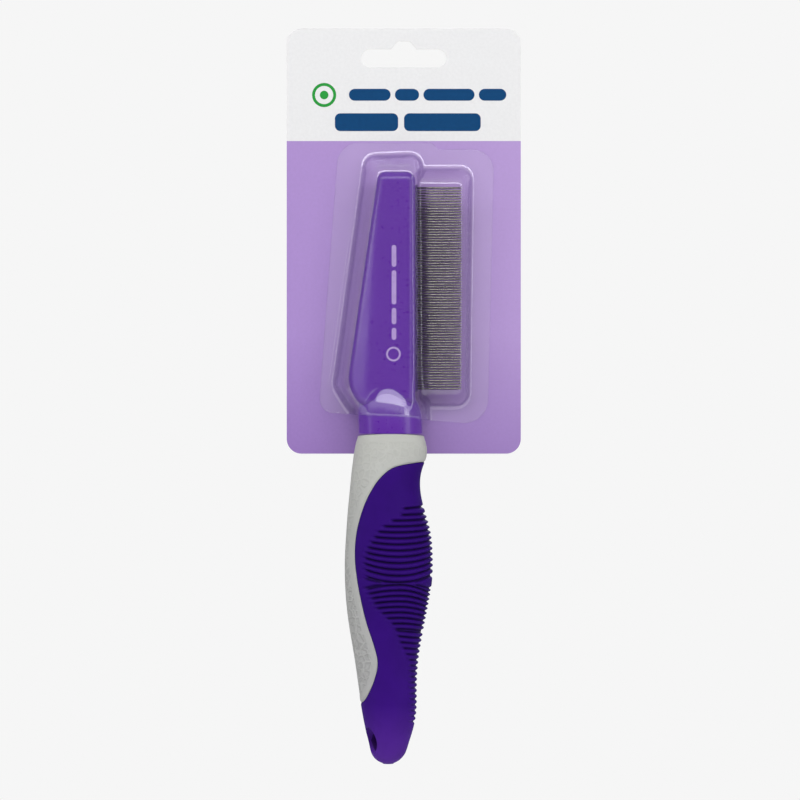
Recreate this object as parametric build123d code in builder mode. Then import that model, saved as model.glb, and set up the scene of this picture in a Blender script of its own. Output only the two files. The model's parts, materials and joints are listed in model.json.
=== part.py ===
from build123d import *

import os

# A flea comb sold on a hang card, under a clear thermoformed blister.
# Frame: X to the right, Y away from the front, Z up, in millimetres. The origin is the centre of
# the card's hang slot, on the card's front face. The comb points down: its head is under the
# blister, its tines point to +X, and its handle hangs below the card.

# ---- Depths, measured from the card's front face towards the viewer (-Y) ----
COMB_DEPTH = 9.2  # the comb's mid-plane
HEAD_THICKNESS = 12.0
NECK_DEPTH = 8.3  # half the neck's thickness, which clears the card

# ---- Hang card ----
CARD_WIDTH = 87.0
CARD_TOP = 11.0
CARD_BOTTOM = -147.0
CARD_THICKNESS = 0.5
CARD_CORNER = 5.5
SLOT_LENGTH = 31.7
SLOT_HEIGHT = 6.8
NOTCH_RISE = 2.9  # the peg notch above the slot's straight edge
NOTCH_FOOT = 9.4
NOTCH_CREST = 4.6
NOTCH_ROUND = 1.6

# ---- Blister: one film with a flat flange and three pockets ----
FILM = 0.4
SEAL_GAP = 0.05  # the heat-seal coat between flange and card
# Outlines are corners (x, z, corner radius), clockwise from the top left.
FLANGE = [
    (-24.2, -31.5, 8.0),
    (10.4, -31.5, 2.5),
    (12.9, -34.0, 2.5),
    (33.6, -34.0, 8.0),
    (31.2, -136.3, 9.0),
    (-31.6, -131.4, 5.0),
]
SPINE_POCKET_BASE = [
    (-14.6, -36.2, 4.5),
    (6.6, -35.4, 4.5),
    (7.4, -131.6, 3.0),
    (-19.6, -131.6, 6.0),
    (-26.2, -121.5, 6.0),
]
SPINE_POCKET_CREST = [
    (-9.9, -42.0, 3.0),
    (4.3, -42.0, 3.0),
    (4.9, -130.4, 2.5),
    (-17.2, -131.0, 4.0),
    (-22.0, -122.0, 6.0),
]
SPINE_POCKET_DEPTH = 16.3
TINE_POCKET_BASE = [
    (0.0, -40.6, 1.0),
    (25.3, -40.6, 4.0),
    (23.9, -129.8, 4.5),
    (0.0, -129.8, 1.0),
]
TINE_POCKET_CREST = [
    (0.0, -46.2, 1.0),
    (22.3, -46.2, 2.5),
    (22.1, -124.6, 2.5),
    (0.0, -124.6, 1.0),
]
TINE_POCKET_DEPTH = 11.0
NECK_POCKET_ROOM = 1.0  # outer film surface to the neck
NECK_POCKET_SPREAD = 1.5  # draft of the pocket's sides down to the flange

# ---- Comb head and neck ----
HEAD_OUTLINE = [
    (-9.5, -43.1, 3.4),
    (4.3, -43.1, 3.4),
    (4.3, -128.6, 2.0),
    (-16.4, -129.8, 7.0),
    (-20.9, -121.2, 15.0),
]
HEAD_EDGE_ROUND = 3.1
# Neck sections: z, left, right, half thickness.
NECK_SECTIONS = [
    (-121.5, -14.5, 1.5, 4.6),
    (-126.5, -16.4, 4.4, 6.6),
    (-131.0, -16.8, 6.2, 7.8),
    (-135.0, -16.7, 6.7, NECK_DEPTH),
    (-139.4, -16.6, 6.9, NECK_DEPTH),
]
NECK_POCKET_HEIGHTS = (-119.6, -124.0, -128.6, -133.0, CARD_BOTTOM)
TANG_WIDTH = 12.0
TANG_THICKNESS = 8.0
TANG_CORNER = 1.5
TANG_END = -188.0
TANG_CENTRE_X = -5.0
TANG_BARB_Z = -172.0
TANG_BARB = 0.8  # how far each snap barb stands out of the tang
TANG_BARB_LENGTH = 5.0
TANG_CLEARANCE = 0.15

# ---- Tines and the bar that carries them ----
TINE_COUNT = 78
TINE_PITCH = 0.96
TINE_DIAMETER = 0.7
TINE_TOP_Z = -48.9
TINE_ROOT_X = 2.6
TINE_TIP_X = 21.3
TINE_TIP_ROUND = 0.3
TINE_FIT = 0.01  # radial room in the bar's holes
BAR_BACK_X = 1.8
BAR_FRONT_X = 5.1
BAR_THICKNESS = 2.6
BAR_MARGIN = 1.1  # the bar runs past the end tines
BAR_FIT = 0.02

# ---- Handle: the grip's outer form, z, left, right, half thickness ----
GRIP_SECTIONS = [
    (-138.0, -15.9, 6.5, 8.0),
    (-140.0, -16.9, 7.4, 8.3),
    (-144.0, -18.1, 8.6, 8.6),
    (-147.6, -18.6, 8.5, 8.7),
    (-152.0, -19.2, 6.9, 9.1),
    (-159.0, -19.9, 6.0, 9.7),
    (-166.0, -20.6, 7.2, 10.3),
    (-174.0, -21.2, 9.6, 11.0),
    (-184.0, -21.8, 10.7, 11.5),
    (-194.0, -21.8, 10.4, 11.5),
    (-203.0, -21.2, 9.0, 11.1),
    (-212.0, -20.0, 7.2, 10.4),
    (-222.0, -18.3, 5.5, 9.5),
    (-234.0, -16.6, 4.8, 8.4),
    (-244.0, -15.0, 4.4, 7.6),
    (-250.0, -13.8, 3.0, 7.1),
    (-255.0, -12.7, 1.6, 6.4),
    (-258.8, -11.0, -0.6, 4.8),
    (-260.4, -9.0, -2.6, 3.2),
    (-261.0, -7.2, -4.4, 1.6),
]
GRIP_TOP = -139.4
GRIP_TOP_FALL = 0.9  # the top edge drops this far at the sides
RUBBER = 3.0  # the overmould's thickness over the core
CORE_TOP = -141.5
CORE_END = -247.0
CORE_RUN_ON = 5.0  # the core's loft runs this far past its end before it is cut off
# Where the soft pad meets the pale shell, from beyond the tine side to beyond the back.
SEAM = [
    (12.0, -149.6),
    (-0.7, -150.8),
    (-7.5, -154.0),
    (-12.9, -161.3),
    (-16.8, -172.3),
    (-18.2, -184.5),
    (-16.9, -196.5),
    (-13.7, -209.3),
    (-10.3, -219.2),
    (-9.7, -224.0),
    (-11.2, -229.8),
    (-15.9, -238.5),
    (-20.0, -246.0),
]
REACH = 40.0  # past the handle on every side
OVERCUT = 2.0  # how far a cut passes the face it opens

# ---- Hang hole through the handle's end; its mouth on the back edge looks a little to the front ----
HANG_HOLE_CENTRE = (-5.5, -COMB_DEPTH, -252.6)
HANG_HOLE_RADIUS = 3.4
HANG_HOLE_TURN = 22.0  # degrees from +X


def outline(corners, inset=0.0):
    """A face with rounded corners."""
    with BuildSketch() as face:
        with BuildLine():
            FilletPolyline(
                *[(x, z) for x, z, _ in corners], radius=[r for _, _, r in corners], close=True
            )
        make_face()
        if inset:
            offset(amount=-inset)
    return face.sketch


def pocket(base, crest, depth, inset=0.0, sink=0.0):
    """A tapered block from the card's face to a crest."""
    base_face, crest_face = outline(base, inset), outline(crest, inset)
    with BuildPart() as block:
        with BuildSketch(Plane.XZ.offset(-sink)):
            add(base_face)
        with BuildSketch(Plane.XZ.offset(depth - inset)):
            add(crest_face)
        loft()
    return block.part


def neck_pocket(room, sink):
    """A half ellipse on legs that spread to the card, following the neck out of the film."""
    with BuildPart() as block:
        for z, (_, left, right, half_depth) in zip(NECK_POCKET_HEIGHTS, NECK_SECTIONS):
            centre, half_width = (left + right) / 2, (right - left) / 2 + room
            foot = half_width + NECK_POCKET_SPREAD
            with BuildSketch(Plane.XY.offset(z)):
                with BuildLine():
                    shoulder = (centre - half_width, -COMB_DEPTH)
                    end = (centre + half_width, -COMB_DEPTH)
                    EllipticalCenterArc(
                        (centre, -COMB_DEPTH),
                        half_width,
                        half_depth + room,
                        start_angle=180,
                        arc_size=180,
                    )
                    Polyline(end, (centre + foot, sink), (centre - foot, sink), shoulder)
                make_face()
        loft(ruled=True)
    return block.part


def elliptical_loft(sections, inset=0.0):
    """A smooth body through one ellipse for each section."""
    with BuildPart() as body:
        for z, left, right, half_depth in sections:
            with BuildSketch(Plane.XY.offset(z)):
                with Locations(((left + right) / 2, -COMB_DEPTH)):
                    Ellipse((right - left) / 2 - inset, half_depth - inset)
        loft()
    return body.part


# ---------------------------------------------------------------- hang card
with BuildPart() as backing_card:
    with BuildSketch(Plane.XZ.offset(-CARD_THICKNESS)):
        with Locations((0, (CARD_TOP + CARD_BOTTOM) / 2)):
            RectangleRounded(CARD_WIDTH, CARD_TOP - CARD_BOTTOM, CARD_CORNER)
        SlotOverall(SLOT_LENGTH, SLOT_HEIGHT, mode=Mode.SUBTRACT)
        with BuildLine():
            FilletPolyline(
                (-NOTCH_FOOT / 2, 0),
                (-NOTCH_FOOT / 2, SLOT_HEIGHT / 2),
                (-NOTCH_CREST / 2, SLOT_HEIGHT / 2 + NOTCH_RISE),
                (NOTCH_CREST / 2, SLOT_HEIGHT / 2 + NOTCH_RISE),
                (NOTCH_FOOT / 2, SLOT_HEIGHT / 2),
                (NOTCH_FOOT / 2, 0),
                radius=[0, 0, NOTCH_ROUND, NOTCH_ROUND, 0, 0],
                close=True,
            )
        make_face(mode=Mode.SUBTRACT)
    extrude(amount=CARD_THICKNESS)

# ------------------------------------------------------------------- blister
flange_face = outline(FLANGE)
hollows = [
    pocket(SPINE_POCKET_BASE, SPINE_POCKET_CREST, SPINE_POCKET_DEPTH, FILM, FILM),
    pocket(TINE_POCKET_BASE, TINE_POCKET_CREST, TINE_POCKET_DEPTH, FILM, FILM),
    neck_pocket(NECK_POCKET_ROOM - FILM, FILM),
]
pockets = [
    pocket(SPINE_POCKET_BASE, SPINE_POCKET_CREST, SPINE_POCKET_DEPTH, sink=-SEAL_GAP),
    pocket(TINE_POCKET_BASE, TINE_POCKET_CREST, TINE_POCKET_DEPTH, sink=-SEAL_GAP),
    neck_pocket(NECK_POCKET_ROOM, -SEAL_GAP),
]

with BuildPart() as blister:
    add(pockets)
    with BuildSketch(Plane.XZ.offset(SEAL_GAP)):
        add(flange_face)
    extrude(amount=REACH, mode=Mode.INTERSECT)
    with BuildSketch(Plane.XZ.offset(SEAL_GAP)):
        add(flange_face)
    extrude(amount=FILM)
    add(hollows, mode=Mode.SUBTRACT)

# ----------------------------------------------------------------- comb head
tine_span = (TINE_COUNT - 1) * TINE_PITCH
tine_middle_z = TINE_TOP_Z - tine_span / 2
bar_length = tine_span + 2 * BAR_MARGIN
bar_width = BAR_FRONT_X - BAR_BACK_X

head_face = outline(HEAD_OUTLINE)
neck_form = elliptical_loft(NECK_SECTIONS)

with BuildPart() as comb_head:
    with BuildSketch(Plane.XZ.offset(COMB_DEPTH - HEAD_THICKNESS / 2)):
        add(head_face)
    extrude(amount=HEAD_THICKNESS)
    fillet(comb_head.faces().filter_by(Axis.Y).edges(), HEAD_EDGE_ROUND)
    add(neck_form)
    neck_end = NECK_SECTIONS[-1][0]
    with BuildSketch(Plane.XY.offset(neck_end)):
        with Locations((TANG_CENTRE_X, -COMB_DEPTH)):
            RectangleRounded(TANG_WIDTH, TANG_THICKNESS, TANG_CORNER)
    extrude(amount=TANG_END - neck_end)
    with Locations((TANG_CENTRE_X, -COMB_DEPTH, TANG_BARB_Z)):
        Box(TANG_WIDTH + 2 * TANG_BARB, TANG_THICKNESS / 2, TANG_BARB_LENGTH)
    with Locations((BAR_BACK_X + bar_width / 2, -COMB_DEPTH, tine_middle_z)):
        Box(
            bar_width + 2 * BAR_FIT,
            BAR_THICKNESS + 2 * BAR_FIT,
            bar_length + 2 * BAR_FIT,
            mode=Mode.SUBTRACT,
        )

# ------------------------------------------------------- tines and their bar
tine_places = [(0, -COMB_DEPTH, TINE_TOP_Z - i * TINE_PITCH) for i in range(TINE_COUNT)]

with BuildPart() as tine:
    with BuildSketch(Plane.YZ.offset(TINE_ROOT_X)):
        Circle(TINE_DIAMETER / 2)
    extrude(amount=TINE_TIP_X - TINE_ROOT_X)
    fillet(tine.edges().sort_by(Axis.X)[-1], TINE_TIP_ROUND)

with BuildPart() as tines:
    with Locations(*tine_places):
        add(tine.part)

with BuildPart() as tine_bar:
    with Locations((BAR_BACK_X + bar_width / 2, -COMB_DEPTH, tine_middle_z)):
        Box(bar_width, BAR_THICKNESS, bar_length)
    with BuildSketch(Plane.YZ.offset(TINE_ROOT_X)):
        with Locations(*[(y, z) for _, y, z in tine_places]):
            Circle(TINE_DIAMETER / 2 + TINE_FIT)
    extrude(amount=bar_width, mode=Mode.SUBTRACT)

# -------------------------------------------------------------------- handle
grip_loft = elliptical_loft(GRIP_SECTIONS)
core_loft = elliptical_loft([s for s in GRIP_SECTIONS if s[0] >= CORE_END - CORE_RUN_ON], RUBBER)

with BuildPart() as grip_form:
    add(grip_loft)
    # The top edge is an arc that falls away to both sides.
    half_width = (GRIP_SECTIONS[1][2] - GRIP_SECTIONS[1][1]) / 2
    middle_x = (GRIP_SECTIONS[1][2] + GRIP_SECTIONS[1][1]) / 2
    with BuildSketch(Plane.XZ.offset(COMB_DEPTH + REACH)):
        with BuildLine():
            left_end = (middle_x - half_width, GRIP_TOP - GRIP_TOP_FALL)
            right_end = (middle_x + half_width, GRIP_TOP - GRIP_TOP_FALL)
            ThreePointArc(left_end, (middle_x, GRIP_TOP), right_end)
            Polyline(
                right_end,
                (REACH, GRIP_TOP - GRIP_TOP_FALL),
                (REACH, GRIP_SECTIONS[-1][0] - REACH),
                (-REACH, GRIP_SECTIONS[-1][0] - REACH),
                (-REACH, GRIP_TOP - GRIP_TOP_FALL),
                left_end,
            )
        make_face()
    extrude(amount=-2 * REACH, mode=Mode.INTERSECT)

with BuildPart() as core_form:
    add(core_loft)
    with Locations((0, -COMB_DEPTH, (CORE_TOP + CORE_END) / 2)):
        Box(2 * REACH, 2 * REACH, CORE_TOP - CORE_END, mode=Mode.INTERSECT)

with BuildPart() as handle_core:
    add(core_form.part)
    socket = 2 * TANG_CLEARANCE
    with Locations((TANG_CENTRE_X, -COMB_DEPTH, (CORE_TOP + TANG_END) / 2)):
        Box(
            TANG_WIDTH + socket,
            TANG_THICKNESS + socket,
            CORE_TOP - TANG_END + socket,
            mode=Mode.SUBTRACT,
        )
    with Locations((TANG_CENTRE_X, -COMB_DEPTH, TANG_BARB_Z)):
        Box(
            TANG_WIDTH + 2 * TANG_BARB + socket,
            TANG_THICKNESS / 2 + socket,
            TANG_BARB_LENGTH + socket,
            mode=Mode.SUBTRACT,
        )


with BuildSketch() as pad_side:
    with BuildLine():
        Spline(*SEAM)
        Polyline(
            SEAM[-1],
            (SEAM[-1][0], GRIP_SECTIONS[-1][0] - REACH),
            (REACH, GRIP_SECTIONS[-1][0] - REACH),
            (REACH, SEAM[0][1]),
            SEAM[0],
        )
    make_face()


hole_plane = Plane(origin=HANG_HOLE_CENTRE, z_dir=Vector(1, 0, 0).rotate(Axis.Z, HANG_HOLE_TURN))

with BuildPart() as grip_pad:
    add(grip_form.part)
    with BuildSketch(Plane.XZ.offset(COMB_DEPTH + REACH)):
        add(pad_side.sketch)
    extrude(amount=-2 * REACH, mode=Mode.INTERSECT)
    add(core_form.part, mode=Mode.SUBTRACT)
    with BuildSketch(hole_plane.offset(-REACH)):
        Circle(HANG_HOLE_RADIUS)
    extrude(amount=2 * REACH, mode=Mode.SUBTRACT)

with BuildPart() as grip_shell:
    add(grip_form.part)
    with BuildSketch(Plane.XZ.offset(COMB_DEPTH + REACH)):
        add(pad_side.sketch)
    extrude(amount=-2 * REACH, mode=Mode.SUBTRACT)
    add(core_form.part, mode=Mode.SUBTRACT)
    with BuildSketch(Plane.XY.offset(GRIP_TOP + OVERCUT)):
        with Locations((TANG_CENTRE_X, -COMB_DEPTH)):
            Rectangle(TANG_WIDTH + socket, TANG_THICKNESS + socket)
    extrude(amount=CORE_TOP - GRIP_TOP - 2 * OVERCUT, mode=Mode.SUBTRACT)

# --------------------------------------------------------------------- write
os.makedirs("parts", exist_ok=True)
NODES = {
    "backing_card": backing_card,
    "blister": blister,
    "comb_head": comb_head,
    "tine_bar": tine_bar,
    "tines": tines,
    "handle_core": handle_core,
    "grip_pad": grip_pad,
    "grip_shell": grip_shell,
}
for name, builder in NODES.items():
    builder.part.label = name
    export_step(builder.part, f"parts/{name}.step")
    print(name, len(builder.part.solids()), round(builder.part.volume, 1))
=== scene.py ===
import json
import math

import bpy
import bmesh
import numpy as np
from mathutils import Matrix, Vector
from mathutils.bvhtree import BVHTree


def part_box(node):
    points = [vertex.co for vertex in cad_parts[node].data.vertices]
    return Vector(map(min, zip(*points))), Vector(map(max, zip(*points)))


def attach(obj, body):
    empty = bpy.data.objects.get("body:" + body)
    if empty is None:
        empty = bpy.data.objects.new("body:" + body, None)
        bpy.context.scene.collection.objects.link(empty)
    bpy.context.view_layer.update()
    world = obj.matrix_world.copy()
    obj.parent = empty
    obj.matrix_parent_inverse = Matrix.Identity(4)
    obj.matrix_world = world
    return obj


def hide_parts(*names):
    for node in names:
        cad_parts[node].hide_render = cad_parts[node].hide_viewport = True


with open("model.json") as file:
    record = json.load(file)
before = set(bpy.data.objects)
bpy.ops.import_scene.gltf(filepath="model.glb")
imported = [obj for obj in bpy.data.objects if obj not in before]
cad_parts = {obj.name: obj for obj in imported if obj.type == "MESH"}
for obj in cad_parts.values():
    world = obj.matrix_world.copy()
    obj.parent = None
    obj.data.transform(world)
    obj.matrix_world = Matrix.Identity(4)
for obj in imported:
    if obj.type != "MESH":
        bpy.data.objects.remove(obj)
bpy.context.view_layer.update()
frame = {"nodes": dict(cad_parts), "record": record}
MM = 0.001


# ------------------------------------------------------------------ camera
PHOTO_SPAN = 296 * MM  # what the frame's width covers at the comb's mid-plane
LENS = 135
card_lo, card_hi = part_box("backing_card")
shell_lo, shell_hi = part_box("grip_shell")
pad_lo, pad_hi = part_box("grip_pad")
CAMERA_DROP = 2.05 * MM  # the object stands a little above the middle of the photo
SENSOR = 36
middle_z = (card_hi.z + pad_lo.z) / 2 - CAMERA_DROP
cam_data = bpy.data.cameras.new("camera")
cam_data.lens = LENS
cam_data.sensor_width = SENSOR
cam_data.clip_start = 0.01
cam = bpy.data.objects.new("camera", cam_data)
bpy.context.scene.collection.objects.link(cam)
cam.location = (-1.4 * MM, -5 * MM - PHOTO_SPAN * LENS / SENSOR, middle_z)
cam.rotation_euler = (math.radians(90), 0, 0)
bpy.context.scene.camera = cam
bpy.context.scene.view_settings.view_transform = "Standard"


# ------------------------------------------------------------ node helpers
def material(name):
    m = bpy.data.materials.new(name)
    m.use_nodes = True
    return m, m.node_tree, m.node_tree.nodes["Principled BSDF"]


def add_node(tree, kind, **values):
    n = tree.nodes.new(kind)
    for key, value in values.items():
        if key in n.inputs:
            n.inputs[key].default_value = value
        else:
            setattr(n, key, value)
    return n


def ramp(tree, source, stops):
    n = tree.nodes.new("ShaderNodeValToRGB")
    while len(n.color_ramp.elements) < len(stops):
        n.color_ramp.elements.new(0.5)
    for element, (pos, value) in zip(n.color_ramp.elements, stops):
        element.position = pos
        element.color = value if len(value) == 4 else (*value, 1)
    tree.links.new(source, n.inputs["Fac"])
    return n.outputs["Color"]


def srgb(r, g, b):
    return tuple(((c / 255 + 0.055) / 1.055) ** 2.4 if c > 10 else c / 255 / 12.92 for c in (r, g, b))


def grey(v):
    return (v, v, v)


def object_coords(tree):
    return tree.nodes.new("ShaderNodeTexCoord").outputs["Object"]


def noise(tree, coords, scale, detail=3.0, rough=0.5):
    n = add_node(tree, "ShaderNodeTexNoise", Scale=scale, Detail=detail, Roughness=rough)
    tree.links.new(coords, n.inputs["Vector"])
    return n.outputs["Fac"]


def math_node(tree, op, a, b=None, clamp=False):
    n = tree.nodes.new("ShaderNodeMath")
    n.operation = op
    n.use_clamp = clamp
    for i, v in enumerate((a, b)):
        if v is None:
            continue
        if isinstance(v, (int, float)):
            n.inputs[i].default_value = v
        else:
            tree.links.new(v, n.inputs[i])
    return n.outputs[0]


def mix_colour(tree, fac, a, b, blend="MIX"):
    n = tree.nodes.new("ShaderNodeMix")
    n.data_type = "RGBA"
    n.blend_type = blend
    for socket, v in ((n.inputs[0], fac), (n.inputs[6], a), (n.inputs[7], b)):
        if isinstance(v, (int, float)):
            socket.default_value = v
        elif isinstance(v, tuple):
            socket.default_value = (*v, 1)
        else:
            tree.links.new(v, socket)
    return n.outputs[2]


def multiply(tree, a, b):
    return mix_colour(tree, 1.0, a, b, "MULTIPLY")


def attribute(tree, name):
    return add_node(tree, "ShaderNodeAttribute", attribute_name=name).outputs["Fac"]


def bump(tree, bsdf, height, strength, distance):
    n = add_node(tree, "ShaderNodeBump", Strength=strength, Distance=distance)
    tree.links.new(height, n.inputs["Height"])
    tree.links.new(n.outputs["Normal"], bsdf.inputs["Normal"])


def vary(tree, bsdf, coords, low, high, scale, detail=3.0):
    """A base colour that drifts between two close tones."""
    colour = ramp(tree, noise(tree, coords, scale, detail), [(0.3, low), (0.7, high)])
    tree.links.new(colour, bsdf.inputs["Base Color"])


def vary_roughness(tree, bsdf, coords, low, high, scale):
    value = ramp(tree, noise(tree, coords, scale, 4.0), [(0.3, grey(low)), (0.7, grey(high))])
    tree.links.new(value, bsdf.inputs["Roughness"])


# --------------------------------------------------------------- materials
CARD_DROP = 0.147  # from the hang slot to the card's bottom edge
CARD_SPAN = 0.087
HEADER_END = -30.8 * MM
PAD_TOP = 0.149  # below the hang slot
PAD_LENGTH = 0.112


def card_material():
    m, t, b = material("card_print")
    co = object_coords(t)
    xyz = t.nodes.new("ShaderNodeSeparateXYZ")
    t.links.new(co, xyz.inputs[0])
    down = math_node(t, "MULTIPLY", xyz.outputs["Z"], -1 / CARD_DROP)
    across = math_node(t, "MULTIPLY_ADD", xyz.outputs["X"], 1 / CARD_SPAN)
    across.node.inputs[2].default_value = 0.5
    # Painted shade: the lavender is a little darker on the left than on the right, and darker towards the
    # card's bottom edge.
    left_tones = (srgb(168, 139, 198), srgb(165, 136, 198), srgb(146, 115, 181))
    right_tones = (srgb(176, 149, 204), srgb(173, 146, 202), srgb(152, 124, 184))
    left = ramp(t, down, list(zip((0.0, 0.7, 1.0), left_tones)))
    right = ramp(t, down, list(zip((0.0, 0.7, 1.0), right_tones)))
    shaded_lavender = mix_colour(t, across, left, right)
    fibre = ramp(t, noise(t, co, 900, 5), [(0.35, grey(0.965)), (0.65, grey(1.0))])
    header = math_node(t, "GREATER_THAN", xyz.outputs["Z"], HEADER_END)
    front = mix_colour(t, header, shaded_lavender, srgb(225, 225, 226))
    normal = t.nodes.new("ShaderNodeNewGeometry")
    n_xyz = t.nodes.new("ShaderNodeSeparateXYZ")
    t.links.new(normal.outputs["Normal"], n_xyz.inputs[0])
    faces_front = math_node(t, "LESS_THAN", n_xyz.outputs["Y"], -0.5)
    pulp = ramp(t, noise(t, co, 1500, 6), [(0.3, srgb(205, 201, 192)), (0.7, srgb(213, 209, 201))])
    both = mix_colour(t, faces_front, pulp, front)
    t.links.new(multiply(t, both, fibre), b.inputs["Base Color"])
    vary_roughness(t, b, co, 0.42, 0.55, 260)
    bump(t, b, noise(t, co, 1600, 4), 0.12, 0.00005)
    b.inputs["Specular IOR Level"].default_value = 0.2
    return m


def film_material():
    """Clear film: it darkens and mirrors more as it turns away, and its bends show as thin lines, the dark
    ones painted shade and the bright ones from more mirroring.
    """
    m, t, b = material("clear_film")
    co = object_coords(t)
    t.nodes.remove(b)
    gloss = add_node(t, "ShaderNodeBsdfGlossy", Color=(0.96, 0.96, 1.0, 1))
    rough = ramp(t, noise(t, co, 90, 2), [(0.3, grey(0.07)), (0.7, grey(0.10))])
    t.links.new(rough, gloss.inputs["Roughness"])
    swell = add_node(t, "ShaderNodeBump", Strength=0.25, Distance=0.0002)
    t.links.new(noise(t, co, 14, 0), swell.inputs["Height"])
    t.links.new(swell.outputs["Normal"], gloss.inputs["Normal"])
    facing = add_node(t, "ShaderNodeLayerWeight", Blend=0.5).outputs["Facing"]
    turned = ramp(
        t,
        facing,
        [(0.0, grey(1.0)), (0.66, grey(0.99)), (0.8, (0.93, 0.92, 0.95)), (1.0, (0.6, 0.56, 0.66))],
    )
    # Painted shade: the film's bends and cut rim are tinted dark.
    fold_shade = ramp(
        t,
        attribute(t, "fold_shade"),
        [(0.0, grey(1.0)), (0.5, (0.97, 0.96, 0.98)), (1.0, (0.82, 0.78, 0.86))],
    )
    clear = t.nodes.new("ShaderNodeBsdfTransparent")
    t.links.new(multiply(t, turned, fold_shade), clear.inputs["Color"])
    mirror = ramp(
        t,
        facing,
        [(0.0, grey(0.03)), (0.5, grey(0.055)), (0.66, grey(0.10)), (0.83, grey(0.26)), (1.0, grey(0.85))],
    )
    crease = math_node(t, "MULTIPLY", attribute(t, "crease"), 0.03)
    # Light that the film would throw aside still reaches the card.
    shadow_ray = t.nodes.new("ShaderNodeLightPath").outputs["Is Shadow Ray"]
    spared = math_node(t, "MULTIPLY_ADD", shadow_ray, -0.97)
    spared.node.inputs[2].default_value = 1.0
    mirrored = math_node(t, "MULTIPLY", math_node(t, "ADD", mirror, crease, clamp=True), spared)
    mix = t.nodes.new("ShaderNodeMixShader")
    t.links.new(mirrored, mix.inputs[0])
    t.links.new(clear.outputs[0], mix.inputs[1])
    t.links.new(gloss.outputs[0], mix.inputs[2])
    # Where the film is sealed to the card, it is a little milky.
    xyz = t.nodes.new("ShaderNodeSeparateXYZ")
    t.links.new(co, xyz.inputs[0])
    rise = math_node(t, "MULTIPLY", xyz.outputs["Y"], -100.0)
    milk = ramp(t, rise, [(0.07, grey(0.05)), (0.16, grey(0.03)), (0.4, grey(0.008)), (1.0, grey(0.004))])
    white = add_node(t, "ShaderNodeBsdfDiffuse", Color=(0.95, 0.93, 0.98, 1))
    sealed = t.nodes.new("ShaderNodeMixShader")
    t.links.new(math_node(t, "MULTIPLY", milk, spared), sealed.inputs[0])
    t.links.new(mix.outputs[0], sealed.inputs[1])
    t.links.new(white.outputs[0], sealed.inputs[2])
    t.links.new(sealed.outputs[0], t.nodes["Material Output"].inputs["Surface"])
    return m


def plastic_material(name, low, high, rough_low, rough_high, coat=0.0):
    m, t, b = material(name)
    co = object_coords(t)
    vary(t, b, co, low, high, 35, 1.0)
    vary_roughness(t, b, co, rough_low, rough_high, 900)
    bump(t, b, noise(t, co, 2600, 2), 0.04, 0.00002)
    b.inputs["Coat Weight"].default_value = coat
    b.inputs["Coat Roughness"].default_value = 0.08
    return m


def steel_material():
    m, t, b = material("drawn_steel")
    co = object_coords(t)
    stretch = t.nodes.new("ShaderNodeMapping")
    stretch.inputs["Scale"].default_value = (150, 9000, 9000)
    t.links.new(co, stretch.inputs["Vector"])
    lines = noise(t, stretch.outputs[0], 1.0, 3)
    colour = ramp(t, lines, [(0.3, srgb(184, 180, 172)), (0.7, srgb(206, 202, 194))])
    # Painted shade: the wires' sides, which face their neighbours, are painted dark.
    normal = t.nodes.new("ShaderNodeNewGeometry")
    n_xyz = t.nodes.new("ShaderNodeSeparateXYZ")
    t.links.new(normal.outputs["Normal"], n_xyz.inputs[0])
    painted_flank_shade = ramp(
        t,
        math_node(t, "ABSOLUTE", n_xyz.outputs["Z"]),
        [(0.18, grey(1.0)), (0.36, grey(0.10)), (0.55, grey(0.015))],
    )
    t.links.new(multiply(t, colour, painted_flank_shade), b.inputs["Base Color"])
    rough = ramp(t, lines, [(0.3, grey(0.24)), (0.7, grey(0.30))])
    t.links.new(rough, b.inputs["Roughness"])
    b.inputs["Metallic"].default_value = 1.0
    bump(t, b, lines, 0.05, 0.00002)
    return m


def pad_material():
    m, t, b = material("soft_pad")
    co = object_coords(t)
    xyz = t.nodes.new("ShaderNodeSeparateXYZ")
    t.links.new(co, xyz.inputs[0])
    down = math_node(t, "MULTIPLY_ADD", xyz.outputs["Z"], -1 / PAD_LENGTH)
    down.node.inputs[2].default_value = -PAD_TOP / PAD_LENGTH
    tones = (srgb(47, 7, 110), srgb(47, 7, 111), srgb(54, 12, 120), srgb(84, 40, 146))
    along = ramp(t, down, list(zip((0.0, 0.5, 0.8, 1.0), tones)))
    cloud = ramp(t, noise(t, co, 110, 4), [(0.3, grey(0.88)), (0.7, grey(1.0))])
    # Painted shade: the pad is darkened in its rib grooves and on the hang hole's wall; the same mask also
    # darkens it along the seam lip.
    painted_groove_shade_and_seam_line = ramp(t, attribute(t, "groove"), [(0.35, grey(1.0)), (0.95, grey(0.25))])
    t.links.new(multiply(t, multiply(t, along, cloud), painted_groove_shade_and_seam_line), b.inputs["Base Color"])
    vary_roughness(t, b, co, 0.52, 0.62, 200)
    bump(t, b, noise(t, co, 2400, 3), 0.10, 0.00004)
    b.inputs["Specular IOR Level"].default_value = 0.07
    return m


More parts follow.
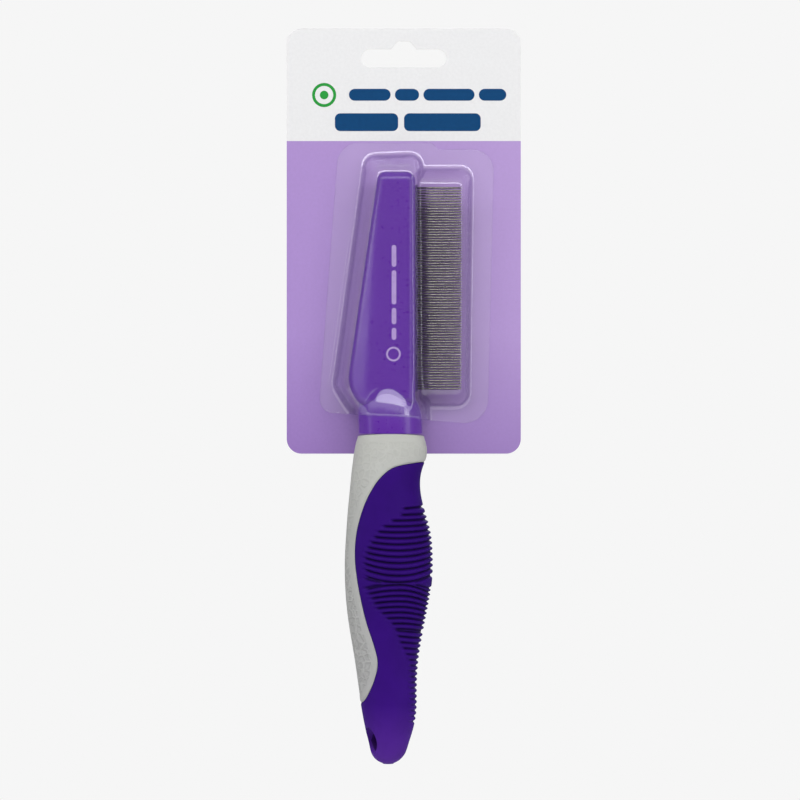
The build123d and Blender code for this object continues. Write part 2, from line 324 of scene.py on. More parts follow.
def shell_material():
    """Pale soft plastic with a raised net of cells, stronger towards the shell's lower end."""
    m, t, b = material("embossed_shell")
    co = object_coords(t)
    wobble = add_node(t, "ShaderNodeTexNoise", Scale=330.0, Detail=0.0)
    t.links.new(co, wobble.inputs["Vector"])
    shift = add_node(t, "ShaderNodeVectorMath", operation="MULTIPLY_ADD")
    t.links.new(wobble.outputs["Color"], shift.inputs[0])
    shift.inputs[1].default_value = (0.0021, 0.0021, 0.0021)
    t.links.new(co, shift.inputs[2])
    cells = add_node(t, "ShaderNodeTexVoronoi", feature="DISTANCE_TO_EDGE", Scale=370.0, Randomness=0.6)
    t.links.new(shift.outputs[0], cells.inputs["Vector"])
    xyz = t.nodes.new("ShaderNodeSeparateXYZ")
    t.links.new(co, xyz.inputs[0])
    down = math_node(t, "MULTIPLY_ADD", xyz.outputs["Z"], -10.0)
    down.node.inputs[2].default_value = -1.4
    stronger = ramp(t, down, [(0.0, grey(0.2)), (0.6, grey(0.9))])
    band = math_node(t, "MULTIPLY", attribute(t, "net"), stronger)
    away = cells.outputs["Distance"]
    net = ramp(t, away, [(0.0, grey(1.0)), (0.10, grey(0.75)), (0.22, grey(0.15)), (0.4, grey(0.0))])
    edge = ramp(t, away, [(0.02, grey(1.08)), (0.13, grey(0.83)), (0.28, grey(0.95)), (0.45, grey(1.02))])
    # Painted shade: the shell's tone grows darker towards its lower end.
    tones = (srgb(184, 185, 180), srgb(172, 173, 171), srgb(170, 170, 170))
    tone = ramp(t, down, list(zip((0.0, 0.35, 0.9), tones)))
    cloud = ramp(t, noise(t, co, 160, 5), [(0.3, grey(0.95)), (0.7, grey(1.0))])
    shade = mix_colour(t, band, grey(1.0), edge)
    t.links.new(multiply(t, multiply(t, tone, cloud), shade), b.inputs["Base Color"])
    vary_roughness(t, b, co, 0.46, 0.60, 220)
    bump(t, b, math_node(t, "MULTIPLY", net, band), 1.0, 0.00034)
    b.inputs["Specular IOR Level"].default_value = 0.3
    return m


def print_material(name, colour):
    m, t, b = material(name)
    co = object_coords(t)
    vary(t, b, co, tuple(c * 0.9 for c in colour), colour, 700, 5)
    vary_roughness(t, b, co, 0.5, 0.6, 500)
    b.inputs["Specular IOR Level"].default_value = 0.12
    bump(t, b, noise(t, co, 1800, 3), 0.08, 0.00003)
    return m


MAT_CARD = card_material()
MAT_FILM = film_material()
MAT_HEAD = plastic_material("head_plastic", srgb(92, 43, 153), srgb(95, 45, 156), 0.27, 0.30, 0.15)
MAT_BAR = plastic_material("bar_plastic", srgb(60, 32, 100), srgb(66, 36, 108), 0.3, 0.4)
MAT_CORE = plastic_material("core_plastic", srgb(50, 28, 90), srgb(56, 32, 98), 0.4, 0.5)
MAT_STEEL = steel_material()
MAT_PAD = pad_material()
MAT_SHELL = shell_material()
MAT_BLUE = print_material("print_blue", srgb(5, 65, 113))
MAT_GREEN = print_material("print_green", srgb(40, 150, 60))
MAT_PALE = print_material("print_pale", srgb(176, 152, 206))

for node, mat in (
    ("backing_card", MAT_CARD),
    ("comb_head", MAT_HEAD),
    ("tine_bar", MAT_BAR),
    ("handle_core", MAT_CORE),
):
    data = frame["nodes"][node].data
    data.materials.clear()
    data.materials.append(mat)


# ------------------------------------------------------------ mesh helpers
def new_object(name, verts, faces, mat, body, replaced):
    data = bpy.data.meshes.new(name)
    data.from_pydata([tuple(v) for v in verts], [], [tuple(int(i) for i in f) for f in faces])
    data.validate()
    data.polygons.foreach_set("use_smooth", [True] * len(data.polygons))
    data.materials.append(mat)
    obj = bpy.data.objects.new(name, data)
    bpy.context.scene.collection.objects.link(obj)
    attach(obj, body)
    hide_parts(*replaced)
    return obj


def cad_tree(*names):
    verts, faces = [], []
    for n in names:
        data = frame["nodes"][n].data
        base = len(verts)
        verts += [v.co.copy() for v in data.vertices]
        faces += [[base + i for i in p.vertices] for p in data.polygons]
    return BVHTree.FromPolygons(verts, faces)


def hit(tree, origin, direction):
    place = tree.ray_cast(Vector(origin), Vector(direction))[0]
    return None if place is None else np.array(place)


def smooth_rows(values, sigma):
    """A Gaussian blur along an evenly spaced row of numbers."""
    reach = max(1, int(3 * sigma))
    kernel = np.exp(-0.5 * (np.arange(-reach, reach + 1) / sigma) ** 2)
    kernel /= kernel.sum()
    padded = np.concatenate(
        [2 * values[0] - values[reach:0:-1], values, 2 * values[-1] - values[-2 : -reach - 2 : -1]]
    )
    return np.convolve(padded, kernel, "valid")


def catmull(points, steps):
    """A smooth curve through points, sampled."""
    p = np.array(points, float)
    p = np.vstack([2 * p[0] - p[1], p, 2 * p[-1] - p[-2]])
    out = []
    for i in range(1, len(p) - 2):
        for t in np.linspace(0, 1, steps, endpoint=False):
            a, b, c, d = p[i - 1 : i + 3]
            out.append(
                0.5
                * (
                    2 * b
                    + (c - a) * t
                    + (2 * a - 5 * b + 4 * c - d) * t * t
                    + (3 * b - a - 3 * c + d) * t**3
                )
            )
    out.append(p[-2])
    return np.array(out)


def smoothstep(low, high, x):
    t = np.clip((x - low) / (high - low), 0, 1)
    return t * t * (3 - 2 * t)


# -------------------------------------------------------------------- grip
# The grip's surface is measured off the CAD pad and shell, then built as two fine meshes that meet
# along the seam. All its numbers are in millimetres until the vertices are made.
grip_tree = cad_tree("grip_pad", "grip_shell")
AXIS_Y = (pad_lo.y + pad_hi.y) / 2 / MM
TOP_Z = shell_hi.z / MM
TIP_Z = pad_lo.z / MM
SEAM_TOP_Z = -149.75
SEAM_END_Z = -238.6
SEAM = [
    (12.0, -149.6), (3.3, -150.2), (-4.1, -151.9), (-8.9, -155.8), (-12.3, -160.7), (-15.1, -166.7),
    (-17.5, -175.2), (-18.2, -183.9), (-17.4, -192.4), (-15.8, -200.8), (-13.7, -209.1),
    (-11.1, -216.8), (-9.7, -223.2), (-11.0, -229.7), (-13.9, -236.1), (-16.0, -238.6), (-19.5, -241.5),
]  # fmt: skip
hole = next(m for m in frame["record"]["mounts"] if m["name"] == "hang_hole")
HOLE_X, _, HOLE_Z = (c / MM for c in hole["pos_m"])
HOLE_AXIS = Vector(hole["axis"]).normalized()
HOLE_R = hole["dims"]["r_mm"]

SAMPLE_STEP = 0.25
sample_z = np.arange(TOP_Z - 0.95, TIP_Z + 0.02, -SAMPLE_STEP)
left, right, depth = [], [], []
for z in sample_z:
    a = hit(grip_tree, (-0.06, AXIS_Y * MM, z * MM), (1, 0, 0))
    b = hit(grip_tree, (0.06, AXIS_Y * MM, z * MM), (-1, 0, 0))
    left.append(a[0] / MM if a is not None else np.nan)
    right.append(b[0] / MM if b is not None else np.nan)
left, right = np.array(left), np.array(right)
# The hang hole swallows the rays at its own height: bridge it.
inside = np.abs(sample_z - HOLE_Z) < HOLE_R + 0.4
good = ~inside & ~np.isnan(left) & ~np.isnan(right)
left = np.interp(-sample_z, -sample_z[good], left[good])
right = np.interp(-sample_z, -sample_z[good], right[good])
for z, xl, xr in zip(sample_z, left, right):
    c = hit(grip_tree, ((xl + xr) / 2 * MM, -0.06, z * MM), (0, 1, 0))
    depth.append(AXIS_Y - c[1] / MM if c is not None else np.nan)
depth = np.array(depth)
good = ~np.isnan(depth)
depth = np.interp(-sample_z, -sample_z[good], depth[good])
body = slice(0, int((TOP_Z - TIP_Z - 5) / SAMPLE_STEP))
for values in (left, right, depth):
    values[body] = smooth_rows(values, 4.0)[body]
    values[:] = smooth_rows(values, 1.2)


def extent(values, z):
    return np.interp(-z, -sample_z, values)


seam_curve = catmull(SEAM, 24)


def seam_x(z):
    return np.interp(-z, -seam_curve[:, 1], seam_curve[:, 0])


def seam_distance(x, z):
    """Distance in the front view from each point to the seam."""
    pts = seam_curve[::4]
    best = np.full(x.shape, 1e9)
    for (x0, z0), (x1, z1) in zip(pts, pts[1:]):
        dx, dz = x1 - x0, z1 - z0
        t = np.clip(((x - x0) * dx + (z - z0) * dz) / (dx * dx + dz * dz), 0, 1)
        best = np.minimum(best, np.hypot(x - x0 - t * dx, z - z0 - t * dz))
    return best


# Ribs: grooves one pitch apart at the front edge, sagging above and arching below.
RIB_PITCH = 2.08
RIB_EDGE_END = -245.6
RIB_MIDDLE_X = -1.6
RIB_DEPTH = 1.05
FAR = 99.0  # past the pad's edge
# Where the grooves start on the pad: z, x.
RIB_STARTS = [
    (-164.0, 0.5), (-169.9, -2.0), (-171.9, -7.0), (-176.1, -11.0), (-182.3, -14.4), (-188.4, -15.8),
    (-196.0, -14.4), (-202.5, -11.2), (-209.5, -4.6), (-216.0, -2.4), (-223.5, 1.6), (-250.0, 1.6),
]  # fmt: skip
# Smiling grooves: height at the middle, sag of the middle under the ends. Arching ones the same,
# with the fall to the left and to the right.
SMILES = [(-167.0 - RIB_PITCH * i - 0.012 * i * i, 2.15 * min(1, i / 11)) for i in range(13)]
ARCHES = [(-194.6 - 2.03 * i, 1.5 - 0.13 * i, 3.3 - 0.19 * i) for i in range(9)]


def rib_lines():
    """For each groove, its height as a function of x, where it starts and ends, and its strength."""
    lines = []
    starts_z = np.array([-z for z, _ in RIB_STARTS])
    starts_x = np.array([x for _, x in RIB_STARTS])

    def start(z):
        return float(np.interp(-z, starts_z, starts_x))

    for middle, sag in SMILES:
        def height(x, middle=middle, sag=sag):
            u = (x - RIB_MIDDLE_X) / 12.5
            tilt = 1.1 * smoothstep(-168.5, -166.5, np.full_like(x, middle)) * u
            return middle + sag * u * u * np.where(u > 0, 1.15, 1.0) + tilt

        lines.append((height, start(middle), FAR, 1.0))
    for middle, fall_left, fall_right in ARCHES:
        def height(x, middle=middle, fall_left=fall_left, fall_right=fall_right):
            u = (x - RIB_MIDDLE_X) / 11.5
            return middle - np.where(u > 0, fall_right, max(0.0, fall_left)) * u * u

        lines.append((height, start(middle), FAR, 1.0))
    # Short grooves fill the gap between the two families, on both sides of where they touch.
    for side_x, begin, finish in ((8.4, 3.2, FAR), (-10.4, -15.6, -6.4)):
        for turn in (1, -1):
            def height(x, side_x=side_x, turn=turn):
                return -194.1 + turn * 1.15 * np.clip((x - RIB_MIDDLE_X) / side_x, 0, 2) ** 2

            lines.append((height, begin, finish, 0.9))
    last = ARCHES[-1][0] - 1.3
    count = int((last - RIB_EDGE_END) / RIB_PITCH)
    for i in range(count + 1):
        middle = last - RIB_PITCH * i

        def height(x, middle=middle):
            return middle - 0.13 * (x - 4.0)

        lines.append((height, start(middle), FAR, 1.0 - 0.3 * min(1, i / 12)))
    return lines


RIBS = rib_lines()


def rib_depth(x, z):
    """How far the pad's surface sits under its crests."""
    out = np.zeros_like(x)
    half = RIB_PITCH * 0.5
    for height, start_x, end_x, strength in RIBS:
        off = np.abs(z - height(x)) / half
        well = np.where(off < 1, (0.5 + 0.5 * np.cos(np.pi * off)) ** 1.5, 0)
        well *= smoothstep(start_x - 0.4, start_x + 2.2, x) * strength
        well *= 1 - smoothstep(end_x - 3.0, end_x, x)
        out = np.maximum(out, well)
    return out * RIB_DEPTH


STEP = 0.25
row_z = set(np.round(np.arange(TOP_Z, TIP_Z + 2.2, -STEP), 3))
row_z |= set(np.round(np.arange(SEAM_TOP_Z, -151.6, -0.08), 3))
row_z |= set(np.round(np.arange(-236.6, SEAM_END_Z - 0.05, -0.12), 3))
row_z |= set(np.round(TIP_Z + 2.2 * (1 - np.sin(np.linspace(0, math.pi / 2, 14))), 3))
row_z |= {SEAM_TOP_Z, SEAM_END_Z}
rows = sorted(row_z, reverse=True)
NEAR = np.array([0, 0.10, 0.2, 0.32, 0.46, 0.64, 0.86, 1.15, 1.5, 1.95])


def arc_columns(z, start_angle, end_angle, count):
    """Angles along the section's arc, close together near both ends."""
    half_w = (extent(right, z) - extent(left, z)) / 2
    half_d = extent(depth, z)
    t = np.linspace(start_angle, end_angle, 240)
    dx, dy = half_w * np.sin(t), half_d * np.cos(t)
    speed = np.hypot(dx, dy)
    s = np.concatenate([[0], np.cumsum((speed[1:] + speed[:-1]) / 2 * np.diff(t))])
    total = s[-1]
    shrink = min(1.0, total / 8)
    inner = count - 2 * len(NEAR)
    first = NEAR * shrink
    reach = NEAR[-1] * shrink
    middle = np.linspace(reach, total - reach, inner + 2)[1:-1]
    places = np.concatenate([first, middle, total - first[::-1]])
    return np.interp(places, s, t)


def grip_rows(side, columns):
    """Vertices and faces of the pad or the shell, before the hang hole."""
    verts, faces, used, marks = [], [], [], []
    for z in rows:
        if side == "pad" and z > SEAM_TOP_Z:
            continue
        if side == "shell" and z < SEAM_END_Z:
            continue
        xl, xr = extent(left, z), extent(right, z)
        cx, a, d = (xl + xr) / 2, (xr - xl) / 2, extent(depth, z)
        if z >= SEAM_TOP_Z:
            turn = 0.0
        elif z <= SEAM_END_Z:
            turn = math.pi
        else:
            turn = math.acos(min(1, max(-1, (seam_x(z) - cx) / a)))
        lo, hi = (-turn, turn) if side == "pad" else (turn, 2 * math.pi - turn)
        angles = arc_columns(z, lo, hi, columns)
        x = cx + a * np.cos(angles)
        y = AXIS_Y + d * np.sin(angles)
        zz = np.full_like(x, z)
        nx, ny = np.cos(angles) / a, np.sin(angles) / d
        length = np.hypot(nx, ny)
        nx, ny = nx / length, ny / length
        gap = seam_distance(x, zz)
        has_seam = z < SEAM_TOP_Z + 3 and z > SEAM_END_Z - 3
        lip = np.exp(-((gap / 0.34) ** 2)) * 0.34 if has_seam else np.zeros_like(x)
        if side == "pad":
            ribs = rib_depth(x, zz) * smoothstep(0.3, 1.6, gap) * (1 - 0.12 * np.abs(nx) ** 3)
            drop = lip + ribs
            # The pad's marks: painted shade in the rib grooves, and darker along the seam lip.
            marks += list(np.clip(ribs / RIB_DEPTH + 2.6 * lip, 0, 1))
        else:
            drop = lip
            top = TOP_Z - z
            net = smoothstep(1.7, 2.6, gap) if has_seam else np.ones_like(x)
            net = net * smoothstep(2.6, 3.6, top)
            if has_seam:
                drop = drop + 0.12 * smoothstep(1.9, 2.5, gap) * net
            else:
                drop = drop + 0.12 * net
            marks += list(net)
        if top_round := max(0.0, 0.45 - (TOP_Z - z)):
            drop = drop + 0.45 - math.sqrt(max(0.0, 0.45**2 - top_round**2))
        x, y = x - nx * drop, y - ny * drop
        fall = 0.9 * ((x - cx) / a) ** 2 * max(0.0, 1 - (TOP_Z - z) / 7)
        used.append(len(verts))
        verts += list(zip(x, y, zz - fall))
    for r in range(len(used) - 1):
        for c in range(columns - 1):
            i, j = used[r] + c, used[r + 1] + c
            faces.append((i, i + 1, j + 1, j))
    return np.array(verts) * MM, faces, used, np.array(marks)


def finish_grip(name, side, columns, mat, node):
    verts, faces, used, marks = grip_rows(side, columns)
    verts = list(map(tuple, verts))
    marks = list(marks)
    if side == "shell":
        # The top edge turns in to the neck.
        first = used[0]
        ring = np.array(verts[first : first + columns])
        centre = ring.mean(0)
        for inset in (0.8, 2.4):
            start = len(verts)
            size = np.hypot(*(ring - centre)[:, :2].T)[:, None]
            moved = ring - (ring - centre) / size * inset * MM
            moved[:, 2] = ring[:, 2] - (0.0 if inset < 1 else 0.4 * MM)
            verts += list(map(tuple, moved))
            marks += [0.0] * columns
            before = first if inset < 1 else start - columns
            for c in range(columns - 1):
                faces.append((start + c, start + c + 1, before + c + 1, before + c))
    else:
        last = used[-1]
        ring = np.array(verts[last : last + columns])
        verts.append(tuple(ring.mean(0) - np.array([0, 0, 0.05 * MM])))
        marks.append(0.0)
        for c in range(columns - 1):
            faces.append((last + c, last + c + 1, len(verts) - 1))
    obj = new_object(name, verts, faces, mat, "comb", (node,))
    data = obj.data
    layer = data.attributes.new("net" if side == "shell" else "groove", "FLOAT", "POINT")
    layer.data.foreach_set("value", marks)
    bm = bmesh.new()
    bm.from_mesh(data)
    bmesh.ops.remove_doubles(bm, verts=bm.verts, dist=0.004 * MM)
    bmesh.ops.dissolve_degenerate(bm, edges=bm.edges, dist=0.002 * MM)
    bmesh.ops.recalc_face_normals(bm, faces=bm.faces)
    bm.to_mesh(data)
    bm.free()
    return obj


def hole_tool():
    """A cylinder along the hang hole's axis that flares at both mouths, more up and down than across."""
    half = float(extent(right, HOLE_Z) - extent(left, HOLE_Z)) / 2
    side = Vector((0, 0, 1)).cross(HOLE_AXIS)
    steps = 10
    profile = [(half + 4, 1.0)]
    for i in range(steps + 1):
        sunk = math.sin(i / steps * math.pi / 2)
        profile.append((half - 0.3 - 2.2 * sunk, 1 - sunk))
    profile = [(-a, flare) for a, flare in profile] + [(a, flare) for a, flare in reversed(profile)]
    around = 64
    verts, faces = [], []
    middle = Vector((HOLE_X, AXIS_Y, HOLE_Z))
    for along, flare in profile:
        for k in range(around):
            a = 2 * math.pi * k / around
            across = (HOLE_R + 0.2 * flare) * math.cos(a)
            up = (HOLE_R + 2.0 * flare) * math.sin(a)
            verts.append((middle + HOLE_AXIS * along + side * across + Vector((0, 0, up))) * MM)
    for i in range(len(profile) - 1):
        for k in range(around):
            n = (k + 1) % around
            faces.append((i * around + k, i * around + n, (i + 1) * around + n, (i + 1) * around + k))
    faces.append(tuple(range(around))[::-1])
    faces.append(tuple((len(profile) - 1) * around + k for k in range(around)))
    data = bpy.data.meshes.new("hole_tool")
    data.from_pydata(verts, [], faces)
    data.update()
    bm = bmesh.new()
    bm.from_mesh(data)
    bmesh.ops.recalc_face_normals(bm, faces=bm.faces)
    bm.to_mesh(data)
    bm.free()
    tool = bpy.data.objects.new("hole_tool", data)
    bpy.context.scene.collection.objects.link(tool)
    return tool


def cut_hole(pad):
    """Cuts the hang hole: the tip is closed, cut, and joined to the rest of the pad again."""
    split_z = (HOLE_Z + 9.0) * MM
    bm = bmesh.new()
    bm.from_mesh(pad.data)
    row = min((v.co.z for v in bm.verts if v.co.z >= split_z), default=split_z)

    def lowest(face):
        return min(v.co.z for v in face.verts)

    level = row - 1e-7
    tip = bm.copy()
    bmesh.ops.delete(bm, geom=[f for f in bm.faces if lowest(f) < level], context="FACES")
    bmesh.ops.delete(tip, geom=[f for f in tip.faces if lowest(f) > level], context="FACES")
    rim = [e for e in tip.edges if e.is_boundary]
    bmesh.ops.contextual_create(tip, geom=rim)
    bmesh.ops.recalc_face_normals(tip, faces=tip.faces)
    tip_data = bpy.data.meshes.new("tip")
    tip.to_mesh(tip_data)
    tip_obj = bpy.data.objects.new("tip", tip_data)
    bpy.context.scene.collection.objects.link(tip_obj)
    tool = hole_tool()
    cut = tip_obj.modifiers.new("hole", "BOOLEAN")
    cut.operation = "DIFFERENCE"
    cut.solver = "EXACT"
    cut.object = tool
    graph = bpy.context.evaluated_depsgraph_get()
    cut_data = bpy.data.meshes.new_from_object(tip_obj.evaluated_get(graph))
    rest = bpy.data.meshes.new("rest")
    bm.to_mesh(rest)
    whole = bmesh.new()
    whole.from_mesh(cut_data)
    flat = [f for f in whole.faces if lowest(f) > level and len(f.verts) > 8]
    bmesh.ops.delete(whole, geom=flat, context="FACES")
    whole.from_mesh(rest)
    bmesh.ops.remove_doubles(whole, verts=whole.verts, dist=0.004 * MM)
    bmesh.ops.recalc_face_normals(whole, faces=whole.faces)
    for f in whole.faces:
        f.smooth = True
        f.material_index = 0
    # Painted shade: the hole's wall is darkened as much as the grooves.
    shade = whole.verts.layers.float.get("groove")
    middle = Vector((HOLE_X, AXIS_Y, HOLE_Z)) * MM
    for v in whole.verts:
        away = (v.co - middle).cross(HOLE_AXIS).length
        if away < (HOLE_R + 0.05) * MM:
            v[shade] = 0.8
    whole.to_mesh(pad.data)
    for b in (bm, tip, whole):
        b.free()
    bpy.data.objects.remove(tool)
    bpy.data.objects.remove(tip_obj)


finish_grip("grip_shell_skin", "shell", 141, MAT_SHELL, "grip_shell")
pad = finish_grip("grip_pad_skin", "pad", 171, MAT_PAD, "grip_pad")
cut_hole(pad)


# ------------------------------------------------------------------- film
# The middle of the comb's spine, at the blister's top and bottom.
SPINE_MIDDLE_TOP = -2.2 * MM
SPINE_MIDDLE_END = -9.0 * MM
SPINE_CROWN = 0.55 * MM
CORNER_BLUR = 0.75 * MM
NECK_BLUR = 1.05 * MM
FILM_GAUGE = 0.32 * MM
# Painted shade: the dark tint given to the film's cut rim.
RIM_SHADE = 0.75  # how dark the film's cut rim is


def film_skin():
    """The blister as one thermoformed sheet: the CAD shell's outer heights, with rounded corners."""
    tree = cad_tree("blister")
    lo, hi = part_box("blister")
    step = 0.4 * MM
    nx, nz = int((hi.x - lo.x) / step) + 3, int((hi.z - lo.z) / step) + 3
    xs = lo.x - step + step * np.arange(nx)
    zs = lo.z - step + step * np.arange(nz)
    front = lo.y - 0.01

    def cast(x, z):
        p = hit(tree, (x, front, z), (0, 1, 0))
        return None if p is None else p[1]

    height = np.full((nx, nz), np.nan)
    for i, x in enumerate(xs):
        for j, z in enumerate(zs):
            y = cast(x, z)
            if y is not None:
                height[i, j] = y
    inside = ~np.isnan(height)
    # Fill outward so that the blur doesn't pull the rim.
    filled = height.copy()
    for _ in range(int(4 * MM / step) + 2):
        empty = np.isnan(filled)
        if not empty.any():
            break
        total = np.zeros_like(filled)
        count = np.zeros_like(filled)
        for sx, sz in ((1, 0), (-1, 0), (0, 1), (0, -1)):
            near = np.roll(filled, (sx, sz), (0, 1))
            ok = ~np.isnan(near)
            total[ok] += near[ok]
            count[ok] += 1
        grow = empty & (count > 0)
        filled[grow] = total[grow] / count[grow]
    filled[np.isnan(filled)] = hi.y

    def blur(values, size):
        sigma = size / step
        reach = int(3 * sigma) + 1
        kernel = np.exp(-0.5 * (np.arange(-reach, reach + 1) / sigma) ** 2)
        kernel /= kernel.sum()

        def one_row(row):
            return np.convolve(np.pad(row, reach, "edge"), kernel, "valid")

        for way in (0, 1):
            values = np.apply_along_axis(one_row, way, values)
        return values

    # The corners are drawn finely round the pockets, and more softly where the film leaves over the neck.
    soft = smoothstep(-117 * MM, -122 * MM, zs)[None, :] * smoothstep(11 * MM, 7 * MM, xs)[:, None]
    blurred = blur(filled, CORNER_BLUR) * (1 - soft) + blur(filled, NECK_BLUR) * soft

    # The crest over the comb's spine is slightly crowned across.
    head_lo, head_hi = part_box("comb_head")
    head_half = (head_hi.x - head_lo.x) / 2
    down = (hi.z - zs) / (hi.z - lo.z)
    middle = SPINE_MIDDLE_TOP + down * (SPINE_MIDDLE_END - SPINE_MIDDLE_TOP)
    rise = np.clip((hi.y - blurred) / (hi.y - lo.y), 0, 1)
    across = np.clip(np.abs(xs[:, None] - middle[None, :]) / head_half, 0, 1)
    blurred = blurred + SPINE_CROWN * across**2 * smoothstep(0.7, 0.85, rise)
    # Lines where the sheet bends: a dark line of painted shade on the steep side, and a bright one on the
    # flat side from more mirroring.
    slope_x, slope_z = np.gradient(-blurred, step)
    steep = np.hypot(slope_x, slope_z)
    bend = (np.gradient(slope_x, step, axis=0) + np.gradient(slope_z, step, axis=1)) * MM
    fold_shade = np.clip(bend / 0.55, 0, 1) * smoothstep(0.45, 1.4, steep)
    crease = np.clip(np.abs(bend) / 0.4, 0, 1) * (1 - smoothstep(0.4, 1.3, steep))
    # The cut rim is tinted dark as painted shade.
    fold_shade[~inside] = RIM_SHADE

    index = -np.ones((nx, nz), int)
    verts, faces, lines = [], [], []

    def vertex(i, j):
        if index[i, j] >= 0:
            return index[i, j]
        x, z = xs[i], zs[j]
        if not inside[i, j]:
            toward = np.zeros(2)
            for si in (-1, 0, 1):
                for sj in (-1, 0, 1):
                    a, b = i + si, j + sj
                    if 0 <= a < nx and 0 <= b < nz and inside[a, b]:
                        toward += (si, sj)
            toward = toward * step / max(1e-9, np.abs(toward).max())
            near, far = 1.0, 0.0
            for _ in range(9):
                mid = (near + far) / 2
                if cast(x + toward[0] * mid, z + toward[1] * mid) is None:
                    far = mid
                else:
                    near = mid
            x, z = x + toward[0] * near, z + toward[1] * near
        index[i, j] = len(verts)
        verts.append((x, blurred[i, j], z))
        lines.append((fold_shade[i, j], crease[i, j]))
        return index[i, j]

    for i in range(nx - 1):
        for j in range(nz - 1):
            if inside[i : i + 2, j : j + 2].sum() >= 1:
                corners = [(i, j), (i + 1, j), (i + 1, j + 1), (i, j + 1)]
                faces.append([vertex(a, b) for a, b in corners])
    obj = new_object("film_skin", verts, faces, MAT_FILM, "film", ("blister",))
    for k, key in enumerate(("fold_shade", "crease")):
        layer = obj.data.attributes.new(key, "FLOAT", "POINT")
        layer.data.foreach_set("value", [pair[k] for pair in lines])
    bm = bmesh.new()
    bm.from_mesh(obj.data)
    bmesh.ops.remove_doubles(bm, verts=bm.verts, dist=0.01 * MM)
    bmesh.ops.recalc_face_normals(bm, faces=bm.faces)
    if sum(f.normal.y for f in bm.faces) > 0:
        bmesh.ops.reverse_faces(bm, faces=bm.faces)
    bm.to_mesh(obj.data)
    bm.free()
    solid = obj.modifiers.new("gauge", "SOLIDIFY")
    solid.thickness = FILM_GAUGE
    solid.offset = -1


film_skin()


# ------------------------------------------------------------------- tines
def wires(count=78, around=14):
    """Round wires with tapered, rounded tips, on the axes of the CAD tines."""
    lo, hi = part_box("tines")
    radius = (hi.y - lo.y) / 2
    pitch = (hi.z - lo.z - 2 * radius) / (count - 1)
    cy = (lo.y + hi.y) / 2
    tip = hi.x
    profile = [(lo.x, 1.0), (tip - 5 * MM, 1.0), (tip - 2.2 * MM, 0.97), (tip - 1.0 * MM, 0.86)]
    profile += [
        (tip - 0.42 * MM * (1 - math.sin(a)), 0.74 * math.cos(a))
        for a in np.linspace(0.15, math.pi / 2 - 0.12, 6)
    ]
    verts, faces = [], []
    for i in range(count):
        cz = hi.z - radius - i * pitch
        base = len(verts)
        for x, k in profile:
            for n in range(around):
                a = 2 * math.pi * n / around
                verts.append((x, cy + radius * k * math.cos(a), cz + radius * k * math.sin(a)))
        verts.append((tip, cy, cz))
        for r in range(len(profile) - 1):
            for n in range(around):
                m = (n + 1) % around
                a, b = base + r * around, base + (r + 1) * around
                faces.append((a + n, a + m, b + m, b + n))
        last = base + (len(profile) - 1) * around
        for n in range(around):
            faces.append((last + n, last + (n + 1) % around, len(verts) - 1))
        faces.append(tuple(base + n for n in reversed(range(around))))
    obj = new_object("tine_wires", verts, faces, MAT_STEEL, "comb", ("tines",))
    bm = bmesh.new()
    bm.from_mesh(obj.data)
    bmesh.ops.recalc_face_normals(bm, faces=bm.faces)
    bm.to_mesh(obj.data)
    bm.free()


wires()


# ------------------------------------------------------------ printed marks
def rounded_plate(name, cx, cz, width, tall, radius, y, mat, body, thick=0.04, ring=None):
    """A thin rounded plate of ink, facing -Y. With ring, an outline of that width."""
    radius = min(radius, width / 2, tall / 2)

    def loop(inset):
        w, h, r = width / 2 - inset, tall / 2 - inset, max(0.01, radius - inset)
        pts = []
        for sx, sz, base in ((1, 1, 0), (-1, 1, 90), (-1, -1, 180), (1, -1, 270)):
            for k in range(7):
                a = math.radians(base + 15 * k)
                pts.append((cx + sx * (w - r) + r * math.cos(a), cz + sz * (h - r) + r * math.sin(a)))
        return pts

    bm = bmesh.new()
    outer = [bm.verts.new((x * MM, y * MM, z * MM)) for x, z in loop(0)]
    if ring:
        inner = [bm.verts.new((x * MM, y * MM, z * MM)) for x, z in loop(ring)]
        n = len(outer)
        faces = [bm.faces.new((outer[i], outer[(i + 1) % n], inner[(i + 1) % n], inner[i])) for i in range(n)]
    else:
        faces = [bm.faces.new(outer)]
    result = bmesh.ops.extrude_face_region(bm, geom=faces)
    moved = [g for g in result["geom"] if isinstance(g, bmesh.types.BMVert)]
    bmesh.ops.translate(bm, verts=moved, vec=(0, -thick * MM, 0))
    bmesh.ops.recalc_face_normals(bm, faces=bm.faces)
    data = bpy.data.meshes.new(name)
    bm.to_mesh(data)
    bm.free()
    data.materials.append(mat)
    obj = bpy.data.objects.new(name, data)
    bpy.context.scene.collection.objects.link(obj)
    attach(obj, body)


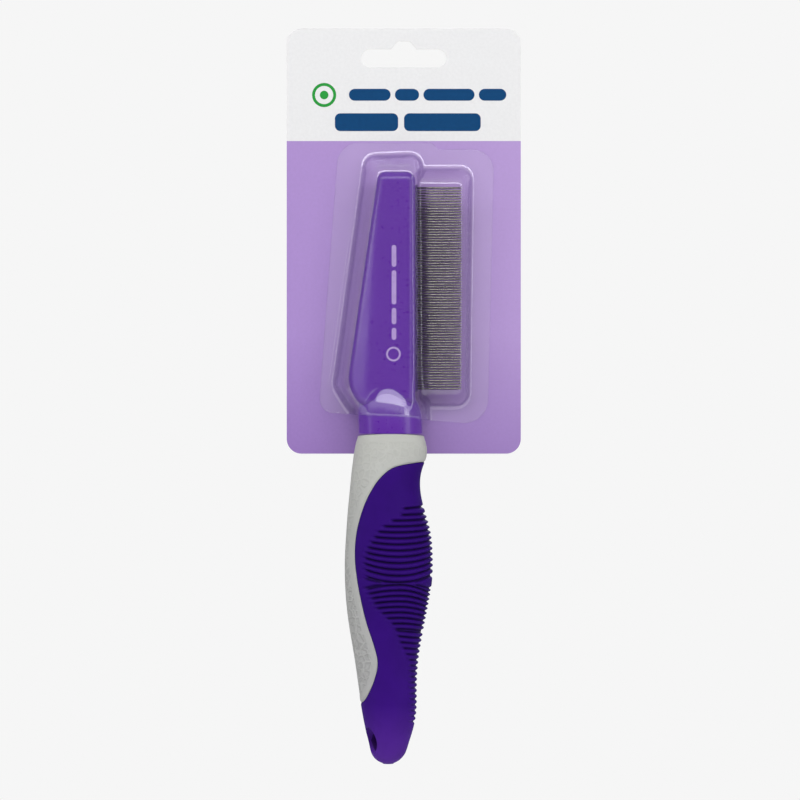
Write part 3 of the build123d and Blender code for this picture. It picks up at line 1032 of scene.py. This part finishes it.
CARD_Y = card_lo.y / MM
rounded_plate("mark_ring", -29.6, -13.7, 9.0, 9.0, 4.5, CARD_Y, MAT_GREEN, "card", ring=1.1)
rounded_plate("mark_dot", -29.6, -13.7, 3.2, 3.2, 1.6, CARD_Y, MAT_GREEN, "card")
x = -20.4
for i, width in enumerate((15.5, 9.0, 19.0, 10.2)):
    rounded_plate(f"mark_line_{i}", x + width / 2, -13.6, width, 4.4, 2.2, CARD_Y, MAT_BLUE, "card")
    x += width + 1.6
x = -25.6
for i, width in enumerate((23.5, 28.5)):
    rounded_plate(f"mark_bar_{i}", x + width / 2, -23.8, width, 6.6, 2.0, CARD_Y, MAT_BLUE, "card")
    x += width + 2.2
head_tree = cad_tree("comb_head")
FACE_Y = hit(head_tree, (-3.6 * MM, -0.06, -90 * MM), (0, 1, 0))[1] / MM
z = -70.2
for i, tall in enumerate((8.0, 12.5, 6.0, 4.4)):
    rounded_plate(f"spine_bar_{i}", -3.6, z - tall / 2, 1.7, tall, 0.85, FACE_Y, MAT_PALE, "comb")
    z -= tall + 1.3
rounded_plate("spine_ring", -3.8, -110.2, 5.4, 5.4, 2.7, FACE_Y, MAT_PALE, "comb", ring=0.7)


# --------------------------------------------------------- floor and light
def plane(name, size, z, mat):
    data = bpy.data.meshes.new(name)
    corners = [(-size, -size, z), (size, -size, z), (size, size, z), (-size, size, z)]
    data.from_pydata(corners, [], [(0, 1, 2, 3)])
    data.materials.append(mat)
    obj = bpy.data.objects.new(name, data)
    bpy.context.scene.collection.objects.link(obj)


FLOOR_Z = -0.62
FLOOR_HALF = 1.4
floor_mat, ft, fb = material("floor_paint")
vary(ft, fb, object_coords(ft), grey(0.80), grey(0.84), 3.0)
fb.inputs["Roughness"].default_value = 0.8
plane("floor", FLOOR_HALF, FLOOR_Z, floor_mat)

# The world lights the object with a graded surround, and the camera sees one flat tone instead.
world = bpy.data.worlds.new("studio")
bpy.context.scene.world = world
world.use_nodes = True
wt = world.node_tree
background = wt.nodes["Background"]
seen = wt.nodes.new("ShaderNodeBackground")
seen.inputs["Color"].default_value = (*srgb(246, 246, 246), 1)
direction = wt.nodes.new("ShaderNodeTexCoord")
parts = wt.nodes.new("ShaderNodeSeparateXYZ")
wt.links.new(direction.outputs["Generated"], parts.inputs[0])
ahead = math_node(wt, "MULTIPLY_ADD", parts.outputs["Y"], 0.5)
ahead.node.inputs[2].default_value = 0.5
shade = ramp(
    wt,
    ahead,
    [(0.0, grey(0.05)), (0.10, grey(0.12)), (0.4, grey(0.42)), (0.6, grey(0.6)), (1.0, grey(0.7))],
)
height = math_node(wt, "MULTIPLY_ADD", parts.outputs["Z"], 0.5)
height.node.inputs[2].default_value = 0.5
lift = ramp(wt, height, [(0.0, grey(0.12)), (0.45, grey(0.45)), (0.7, grey(1.0)), (1.0, grey(1.25))])
wt.links.new(multiply(wt, shade, lift), background.inputs["Color"])
path = wt.nodes.new("ShaderNodeLightPath")
blend = wt.nodes.new("ShaderNodeMixShader")
wt.links.new(path.outputs["Is Camera Ray"], blend.inputs[0])
wt.links.new(background.outputs[0], blend.inputs[1])
wt.links.new(seen.outputs[0], blend.inputs[2])
wt.links.new(blend.outputs[0], wt.nodes["World Output"].inputs["Surface"])


def area(name, place, target, size, power, size_y=None):
    light = bpy.data.lights.new(name, "AREA")
    light.shape = "RECTANGLE"
    light.size = size
    light.size_y = size_y or size
    light.energy = power
    obj = bpy.data.objects.new(name, light)
    bpy.context.scene.collection.objects.link(obj)
    obj.location = place
    obj.rotation_euler = (Vector(target) - Vector(place)).to_track_quat("-Z", "Y").to_euler()


centre = (0, 0, -0.12)
area("key", (-0.1, -1.05, 0.62), centre, 3.4, 23.5, 0.6)
area("band", (-0.19, -1.5, -0.03), centre, 0.10, 0.07, 0.17)
area("fill", (1.1, -0.9, -0.1), centre, 0.4, 2.8, 1.1)
area("rim", (-1.1, -0.6, 0.0), centre, 0.12, 1.2, 1.2)
area("back", (0.1, 0.9, 0.4), centre, 0.8, 5.0)
